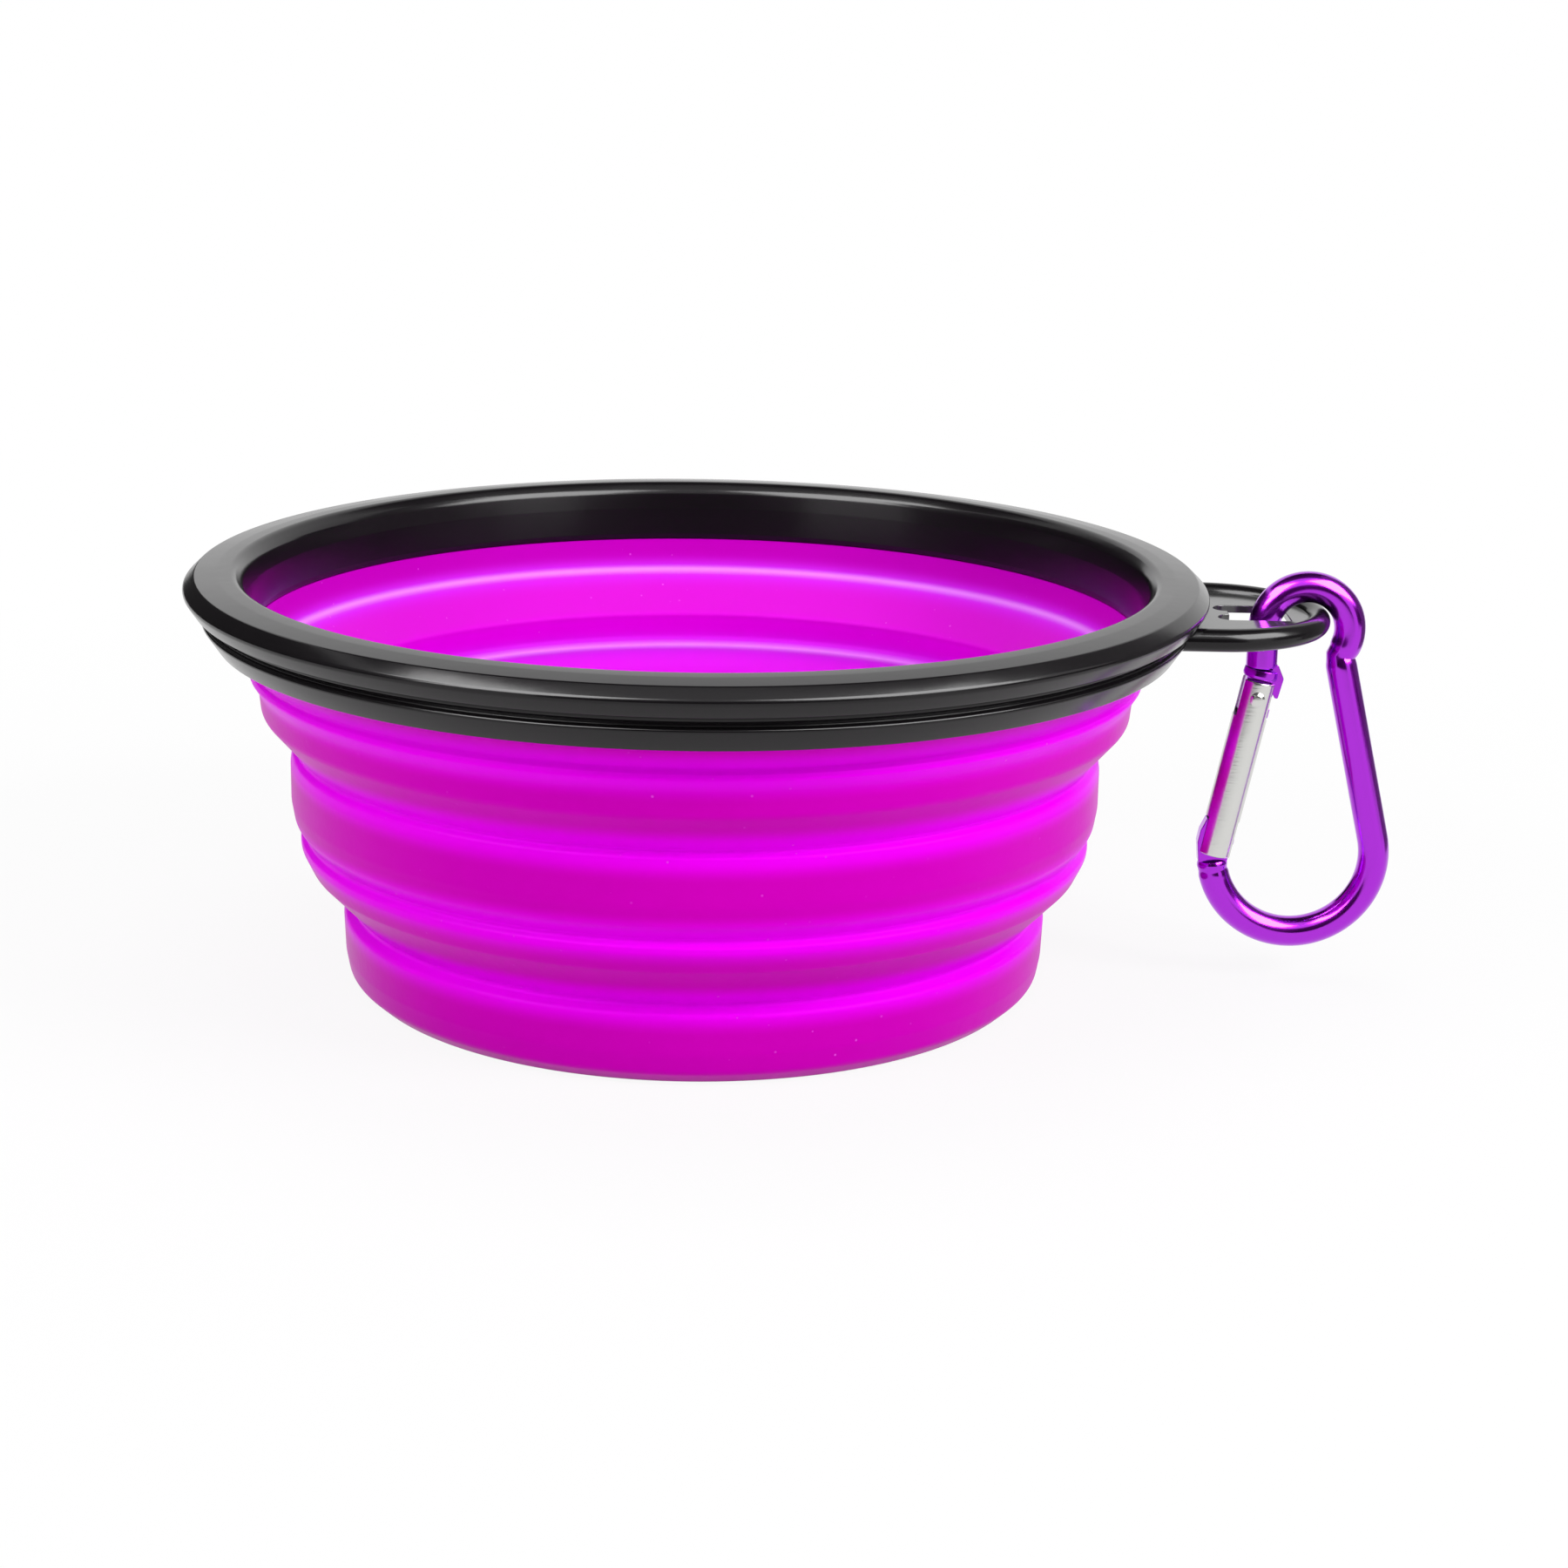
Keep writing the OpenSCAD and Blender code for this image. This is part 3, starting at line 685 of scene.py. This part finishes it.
# %% The bent rod
LEG_STEPS, END_STEPS, END_STEP = 60, 50, 0.1
flat_path = arc((0, 0), BOW_R, -math.pi + SHOULDER_A, leg_a, 120)
flat_path += [(leg_foot[0] + (neck[0] - leg_foot[0]) * i / LEG_STEPS,
               leg_foot[1] + (neck[1] - leg_foot[1]) * i / LEG_STEPS)
              for i in range(1, LEG_STEPS)]
neck_at = len(flat_path)
flat_path += arc((0, HOOK_RISE), HOOK_R, -NECK_A, math.pi, 76)
flat_path += [(-HOOK_R, HOOK_RISE - END_STEP * i) for i in range(1, END_STEPS + 1)]
run = [0.0]
for one, two in zip(flat_path, flat_path[1:]):
    run.append(run[-1] + math.dist(one, two))


# Each pair is a share of the rod's thickness and the length over which it is lost.
NECK_PINCH, HINGE_GROOVE = (0.13, 0.8), (0.06, 0.4)
HINGE_CHAMFER, NOSE_TAPER = (0.09, 0.4), (0.07, 0.3)
HINGE_GROOVE_AT, TAPER_POWER = 1.2, 1.5


def rod_swell(i):
    """Local thickness: pinched at the neck, and drawn in at both pressed ends."""
    def groove(middle, width):
        return math.exp(-((run[i] - middle) / width) ** 2)

    def end(length, depth):
        return max(0.0, 1 - length / depth)
    taper = NOSE_TAPER[0] * end(run[-1] - run[i], NOSE_TAPER[1]) ** TAPER_POWER
    return (1.0 - NECK_PINCH[0] * groove(run[neck_at], NECK_PINCH[1]) - taper
            - HINGE_GROOVE[0] * groove(HINGE_GROOVE_AT, HINGE_GROOVE[1])
            - HINGE_CHAMFER[0] * end(run[i], HINGE_CHAMFER[1]))


print("rod is %.1f mm long" % run[-1])
hook_rod = rod("hook_rod", [in_hook(p) for p in flat_path], ROD_R, anodised,
               sides=48, flat=0.99, swell=rod_swell)
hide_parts("carabiner_body")

# %% [markdown]
# ## The nose and the hinge end
#
# Both ends of the rod are pressed. The upper end is the nose. Under the rod it has a
# narrow groove, painted dark as painted shade, then a low collar, then a flat tongue with
# a notch that catches the gate's latch pin. The lower end is a flat round tongue that the
# gate turns on. The groove and the collar are turned, and a little flatter in depth. The
# tongues are plates in the gate's own line, with their edges bevelled as pressing leaves
# them.

# %% Nose collar, notched tongue and hinge tongue
def turned_pin(name, corners, place, material, steps=48):
    """A body turned about its own axis, from (radius, height, corner radius) corners."""
    obj = turned(name, corners, material, steps)
    for vert in obj.data.vertices:
        x, y, z = (c / MM for c in vert.co)
        vert.co = place(x, y, z) * MM
    tidy_mesh(obj)
    return obj


# The nose's depth as a share of its width, half the thickness of the tongues, and their
# bevel
NOSE_DEPTH, TONGUE_HALF, TONGUE_BEVEL, NOSE_STEPS = 0.9, 1.0, 0.15, 64


def in_nose(x, y, z):
    return in_gate((x, NOSE_FOOT + z, -y * NOSE_DEPTH))


nose_block = turned_pin("nose_block", [
    (0, 0, 0), (2.15, 0, 0.2), (2.3, 0.4, 0.4), (2.22, 1.2, 0.1), (0, 1.2, 0)],
    in_nose, anodised, NOSE_STEPS)
# The groove piece, in the painted shade metal
nose_neck = turned_pin("nose_neck", [
    (0, 1.1, 0), (2.1, 1.16, 0.05), (1.62, 1.42, 0.2), (1.62, 1.9, 0), (0, 1.9, 0)],
    in_nose, groove_shade_metal, NOSE_STEPS)
BEAK_FOOT = 16.84
beak = [tuple(p) for p in rounded([
    (-1.75, BEAK_FOOT, 0.5), (2.1, BEAK_FOOT, 0.3), (2.1, LATCH_Y - 1.15, 0.1),
    (0.0, LATCH_Y - 0.95, 0.3), (-0.95, LATCH_Y - 0.6, 0.4), (-0.9, LATCH_Y + 0.6, 0.5),
    (0.2, LATCH_Y + 0.88, 0.3), (1.95, LATCH_Y + 0.88, 0.3), (2.35, LATCH_Y + 0.4, 0.2),
    (2.75, LATCH_Y + 0.4, 0.2), (2.88, NOSE_FOOT + 0.6, 0.6), (1.7, NOSE_FOOT + 2.3, 0.3),
    (-0.5, NOSE_FOOT + 1.2, 0.0), (-1.75, NOSE_FOOT + 0.2, 0.0)], 4)]
nose_tongue = plate("nose_tongue", [beak], -TONGUE_HALF, TONGUE_HALF, in_gate, anodised,
                    TONGUE_BEVEL)
EYE_R, PIN_HOLE_R = 2.05, 0.81
around = [(math.sin(a) * EYE_R, math.cos(a) * EYE_R)
          for a in [math.radians(d) for d in range(-30, 121, 8)]]
around += [(1.8, -3.6), (-1.8, -3.6), (-2.55, -1.0), (-2.55, 0.6), (-2.1, 2.4)]
eye = arc((0, 0), PIN_HOLE_R, 0, math.tau, 32)[:-1]
hinge_tongue = plate("hinge_tongue", [around, eye], -TONGUE_HALF, TONGUE_HALF, in_gate,
                     anodised, TONGUE_BEVEL)
for piece in (nose_block, nose_neck, nose_tongue, hinge_tongue):
    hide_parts("carabiner_body")

# %% [markdown]
# ## The gate
#
# The gate is a length of bright tube with a fork at each end. A cylinder is divided along
# its length and bevelled at its ends. It is then cut by boxes for the forks and by rods
# for the spring's bore and the two pins, as a saw and a drill would do it.

# %% Cutting the gate
def solid(name, half=None, radius=None, length=None, centre=(0, 0, 0), along="Y"):
    """A plain cutting body in the gate's own line: a box, or a cylinder along Y or Z."""
    shape = bmesh.new()
    if half:
        bmesh.ops.create_cube(shape, size=2.0)
        bmesh.ops.scale(shape, vec=half, verts=shape.verts)
    else:
        bmesh.ops.create_cone(shape, cap_ends=True, segments=96, radius1=radius,
                              radius2=radius, depth=length)
        if along == "Y":
            bmesh.ops.rotate(shape, matrix=Matrix.Rotation(math.radians(-90), 3, "X"),
                             verts=shape.verts)
    for vert in shape.verts:
        vert.co = in_gate(vert.co + Vector(centre)) * MM
    bmesh.ops.recalc_face_normals(shape, faces=shape.faces)
    mesh = bpy.data.meshes.new(name)
    shape.to_mesh(mesh)
    shape.free()
    obj = bpy.data.objects.new(name, mesh)
    bpy.context.scene.collection.objects.link(obj)
    return obj


def cut(obj, cutters):
    for cutter in cutters:
        knife = obj.modifiers.new(cutter.name, "BOOLEAN")
        knife.operation, knife.solver, knife.object = "DIFFERENCE", "EXACT", cutter
    depsgraph = bpy.context.evaluated_depsgraph_get()
    made = bpy.data.meshes.new_from_object(obj.evaluated_get(depsgraph))
    obj.modifiers.clear()
    obj.data = made
    for cutter in cutters:
        bpy.data.objects.remove(cutter)
    tidy_mesh(obj, PLATE_ANGLE)


# The gate's length below its hinge pin, half the gap of both forks, where the lower fork
# ends and where the upper one starts
GATE_FOOT, FORK_GAP, FORK_TOP, FORK_FOOT = 2.2, 1.15, 2.7, 16.54
GATE_LEN, GATE_SLICES, GATE_BEVEL = GATE_FOOT + GATE_TOP, 60, 0.18
# Half the size of a cutting box, the length of a drill, and the spring's bore
BOX_HALF, DRILL_LEN, BORE_R, BORE_LEN = 4, 9, 1.15, FORK_TOP + 12
gate_tube = solid("gate_tube", radius=GATE_R, length=GATE_LEN,
                  centre=(0, (GATE_TOP - GATE_FOOT) / 2, 0))
shape = bmesh.new()
shape.from_mesh(gate_tube.data)
across = Vector(in_gate((0, 1, 0))) - Vector(in_gate((0, 0, 0)))
for step in range(1, GATE_SLICES):
    at = Vector(in_gate((0, -GATE_FOOT + GATE_LEN * step / GATE_SLICES, 0))) * MM
    bmesh.ops.bisect_plane(shape, geom=shape.verts[:] + shape.edges[:] + shape.faces[:],
                           plane_co=at, plane_no=across)
shape.to_mesh(gate_tube.data)
shape.free()
edge = gate_tube.modifiers.new("edge", "BEVEL")
edge.width, edge.segments, edge.limit_method = GATE_BEVEL * MM, 4, "ANGLE"
edge.angle_limit = math.radians(60)
fork_half = (BOX_HALF, BOX_HALF, FORK_GAP)
cut(gate_tube, [
    solid("lower_fork", half=fork_half, centre=(0, FORK_TOP - BOX_HALF, 0)),
    solid("upper_fork", half=fork_half, centre=(0, FORK_FOOT + BOX_HALF, 0)),
    solid("bore", radius=BORE_R, length=BORE_LEN, centre=(0, BORE_LEN / 2, 0)),
    solid("pin_hole", radius=0.8, length=DRILL_LEN, along="Z"),
    solid("latch_hole", radius=0.705, length=DRILL_LEN, centre=(0, LATCH_Y, 0),
          along="Z")])
gate_tube.data.materials.clear()
gate_tube.data.materials.append(bright_metal)
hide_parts("carabiner_gate")

# %% [markdown]
# ## Pins, plunger and spring
#
# The latch pin is riveted, so its ends are low domes. The hinge pin was ground off with
# the gate, so its ends follow the gate's round surface. Both are turned like the rings,
# and then laid across the gate. The spring is a rod on a helix, held inside the gate on
# its plunger.

# %% Pins and plunger
PIN_END, PLUNGER_FOOT = 2.0, 2.55


def ground_off(x, y, z):
    """Brings the ends of the hinge pin to just under the round surface of the gate."""
    if abs(z) > PIN_END:
        z = math.copysign(math.sqrt((GATE_R - 0.01) ** 2 - x * x), z)
    return in_gate((x, y, z))


hinge_pin = turned_pin("hinge_pin", [
    (0, -2.2, 0), (0.25, -2.2, 0), (0.5, -2.2, 0), (0.8, -2.2, 0), (0.8, 2.2, 0),
    (0.5, 2.2, 0), (0.25, 2.2, 0), (0, 2.2, 0)], ground_off, bright_metal)
latch_pin = turned_pin("latch_pin", [
    (0, -2.62, 0), (0.55, -2.56, 0.4), (1.1, -2.27, 0.1), (0.7, -2.25, 0), (0.7, 2.25, 0),
    (1.1, 2.27, 0.1), (0.55, 2.56, 0.4), (0, 2.62, 0)],
    lambda x, y, z: in_gate((x, LATCH_Y + y, z)), bright_metal)
plunger = turned_pin("plunger", [
    (0, 0, 0), (1.0, 0, 0.2), (1.0, 2.0, 0.1), (0, 2.0, 0)],
    lambda x, y, z: in_gate((x, PLUNGER_FOOT + z, -y)), pin_steel)
for piece, node, finish in ((hinge_pin, "gate_hinge_pin", "pin_steel"),
                            (latch_pin, "gate_latch_pin", "pin_steel"),
                            (plunger, "gate_plunger", "pin_steel")):
    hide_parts(node)

# %% Spring
SPRING_TURNS, SPRING_R, SPRING_FOOT, SPRING_LEN = 11, 0.8, 4.75, 7.0
WIRE_R, WIRE_GAP, TURN_STEPS = 0.17, 0.2, 20
spring_steps = SPRING_TURNS * TURN_STEPS
helix = []
for i in range(spring_steps + 1):
    turn = math.tau * i / TURN_STEPS
    rise = (SPRING_LEN - 2 * WIRE_GAP) * i / spring_steps
    helix.append(in_gate((SPRING_R * math.cos(turn), SPRING_FOOT + WIRE_GAP + rise,
                          SPRING_R * math.sin(turn))))
spring = rod("spring", helix, WIRE_R, pin_steel, sides=8)
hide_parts("gate_spring")

# %% [markdown]
# ## What moves with what
#
# Each piece rides on one body of the CAD model, except the two folding walls. They reach
# across a joint, and here they only keep their place.

# %% Ride
for piece in (rim_top, rim_lower, tab_border, tab_web):
    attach(piece, "rim")
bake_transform(upper_wall)
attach(middle_band, "band")
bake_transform(lower_fold)
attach(base_cup, "cup")
for piece in (hook_rod, nose_block, nose_neck, nose_tongue, hinge_tongue, hinge_pin):
    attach(piece, "hook")
for piece in (gate_tube, latch_pin, plunger, spring):
    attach(piece, "gate")

# %% [markdown]
# ## Floor and room
#
# The photograph was taken on white, so the floor and the room are white. Light Path lets
# the camera, reflections and clear materials see plain white, while the light that falls
# on the object stays moderate. The floor keeps part of its real shading, and with it the
# soft shadow under the bowl.

# %% White floor and world
def seen_share(tree):
    """1 for the camera, reflections and clear materials, and 0 for the light itself."""
    rays = add(tree, "ShaderNodeLightPath")
    seen = add(tree, "ShaderNodeMath", {"operation": "ADD", "use_clamp": True})
    seen_too = add(tree, "ShaderNodeMath", {"operation": "ADD", "use_clamp": True})
    tree.links.new(rays.outputs["Is Camera Ray"], seen.inputs[0])
    tree.links.new(rays.outputs["Is Glossy Ray"], seen.inputs[1])
    tree.links.new(seen.outputs[0], seen_too.inputs[0])
    tree.links.new(rays.outputs["Is Transmission Ray"], seen_too.inputs[1])
    return seen_too.outputs[0]


bpy.ops.mesh.primitive_plane_add(size=6, location=(0, 0, 0))
floor = bpy.context.object
floor.name = "floor"
paper = bpy.data.materials.new("white_paper")
paper.use_nodes = True
tree = paper.node_tree
tree.nodes.clear()
lit = add(tree, "ShaderNodeBsdfDiffuse", Color=(0.75, 0.75, 0.75, 1))
glow = add(tree, "ShaderNodeEmission", Color=(1, 1, 1, 1), Strength=1.0)
share = add(tree, "ShaderNodeMath", {"operation": "MULTIPLY"})
spot = add(tree, "ShaderNodeTexCoord")
far = add(tree, "ShaderNodeVectorMath", {"operation": "LENGTH"})
# The plain white covers a little less of the shading near the bowl than far from it.
NEAR_WHITE, NEAR_R, FAR_R = 0.9, 0.08, 0.25
near_or_far = vary(tree, far.outputs["Value"], NEAR_WHITE, 1.0, NEAR_R, FAR_R)
tree.links.new(spot.outputs["Object"], far.inputs[0])
tree.links.new(near_or_far, share.inputs[1])
mix = add(tree, "ShaderNodeMixShader")
end = add(tree, "ShaderNodeOutputMaterial")
tree.links.new(seen_share(tree), share.inputs[0])
tree.links.new(share.outputs[0], mix.inputs[0])
tree.links.new(lit.outputs[0], mix.inputs[1])
tree.links.new(glow.outputs[0], mix.inputs[2])
tree.links.new(mix.outputs[0], end.inputs[0])
floor.data.materials.append(paper)

world = bpy.data.worlds.new("white_room")
bpy.context.scene.world = world
world.use_nodes = True
tree = world.node_tree
tree.nodes.clear()
room = add(tree, "ShaderNodeBackground", Strength=0.4)
white = add(tree, "ShaderNodeBackground", Strength=1.0)
room.inputs[0].default_value = white.inputs[0].default_value = (1, 1, 1, 1)
mix = add(tree, "ShaderNodeMixShader")
end = add(tree, "ShaderNodeOutputWorld")
tree.links.new(seen_share(tree), mix.inputs[0])
tree.links.new(room.outputs[0], mix.inputs[1])
tree.links.new(white.outputs[0], mix.inputs[2])
tree.links.new(mix.outputs[0], end.inputs[0])
print("floor and room are white")

# %% [markdown]
# ## Lamps
#
# Four softboxes light the object from the right, the left, the front and above. They are
# kept out of reflections. Two large bright sheets in front are seen by reflections alone,
# and draw the highlights on the rim, the loop and the bow. Dark cards stand round the
# table, as a photographer sets them up for glossy things. They too are seen only by
# reflections, and give the black plastic and the metal their dark bands.

# %% Softboxes
def softbox(name, place, aim, width, height, power):
    lamp = bpy.data.lights.new(name, "AREA")
    lamp.shape, lamp.size, lamp.size_y, lamp.energy = "RECTANGLE", width, height, power
    obj = bpy.data.objects.new(name, lamp)
    bpy.context.scene.collection.objects.link(obj)
    obj.location = place
    obj.rotation_euler = (Vector(aim) - Vector(place)).to_track_quat("-Z", "Y").to_euler()
    return obj


# Each lamp is a name, a place, what it is aimed at, a width, a height and a power in watts.
BOWL_MIDDLE, RIM_MIDDLE = (0, 0, 0.03), (0.02, 0, 0.05)
for lamp in (softbox("right_box", (0.7, -0.38, 0.6), BOWL_MIDDLE, 0.4, 0.2, 5.5),
             softbox("left_box", (-0.65, -0.42, 0.55), BOWL_MIDDLE, 0.4, 0.2, 2.6),
             softbox("front_box", (0.0, -0.8, 0.62), BOWL_MIDDLE, 0.5, 0.06, 1.0),
             softbox("top_box", (0.0, 0.1, 0.8), BOWL_MIDDLE, 0.5, 0.5, 2.4)):
    lamp.visible_glossy = False
for lamp in (softbox("left_sheet", (-0.44, -0.39, 0.57), RIM_MIDDLE, 0.7, 0.57, 15.8),
             softbox("right_sheet", (0.53, -0.39, 0.58), RIM_MIDDLE, 0.7, 0.6, 16.6)):
    lamp.visible_diffuse = lamp.visible_transmission = False


def flag(name, place, aim, width, height, cloth):
    """A dark card that only reflections see, turned to face the point it is aimed at."""
    bpy.ops.mesh.primitive_plane_add(size=1)
    card = bpy.context.object
    card.name = name
    card.scale = (width, height, 1)
    card.location = place
    card.rotation_euler = (Vector(aim) - Vector(place)).to_track_quat("Z", "Y").to_euler()
    card.data.materials.append(cloth)
    card.visible_camera = card.visible_diffuse = card.visible_shadow = False
    card.visible_transmission = card.visible_volume_scatter = False


black_cloth = new_material("black_flag_cloth", (0.01, 0.01, 0.01), 0.9)[0]
grey_cloth = new_material("grey_flag_cloth", (0.2, 0.2, 0.2), 0.9)[0]
flag("ceiling_flag", (0.0, 0.25, 0.8), (0, 0.25, 0), 1.4, 0.8, black_cloth)
flag("front_flag", (0.03, -0.3, 0.1), (0.03, 0, 0.1), 0.4, 0.2, black_cloth)
flag("left_flag", (-0.5, 0.6, 0.25), (0, 0.6, 0.25), 1.8, 0.5, black_cloth)
flag("table_flag", (-0.65, 0.95, 0.002), (-0.65, 0.95, 1.0), 0.5, 1.3, black_cloth)
flag("far_right_flag", (0.5, 0.1, 0.08), (0, 0.1, 0.08), 0.8, 0.16, black_cloth)
flag("right_flag", (0.17, 0.045, 0.14), (0.078, 0.045, 0.14), 0.11, 0.28, grey_cloth)

# %% [markdown]
# ## Camera
#
# The camera stands where the photograph was taken: 40 cm in front, 14 cm up, looking
# down by about 16 degrees and tipped by one degree.

# %% Camera
CAMERA_AT, LOOKS_DOWN, TIPPED = (0.01138, -0.400, 0.1366), 15.59, 1.09
camera_data = bpy.data.cameras.new("camera")
camera_data.sensor_fit = "HORIZONTAL"
camera_data.sensor_width = 36.0
camera_data.lens = 73.66
camera_data.clip_start, camera_data.clip_end = 0.01, 20.0
camera = bpy.data.objects.new("camera", camera_data)
bpy.context.scene.collection.objects.link(camera)
turn = (Matrix.Rotation(math.radians(90 - LOOKS_DOWN), 4, "X")
        @ Matrix.Rotation(math.radians(TIPPED), 4, "Z"))
camera.matrix_world = Matrix.Translation(CAMERA_AT) @ turn
bpy.context.scene.camera = camera
bpy.context.scene.view_settings.view_transform = "Standard"
print("camera at", tuple(camera.location))
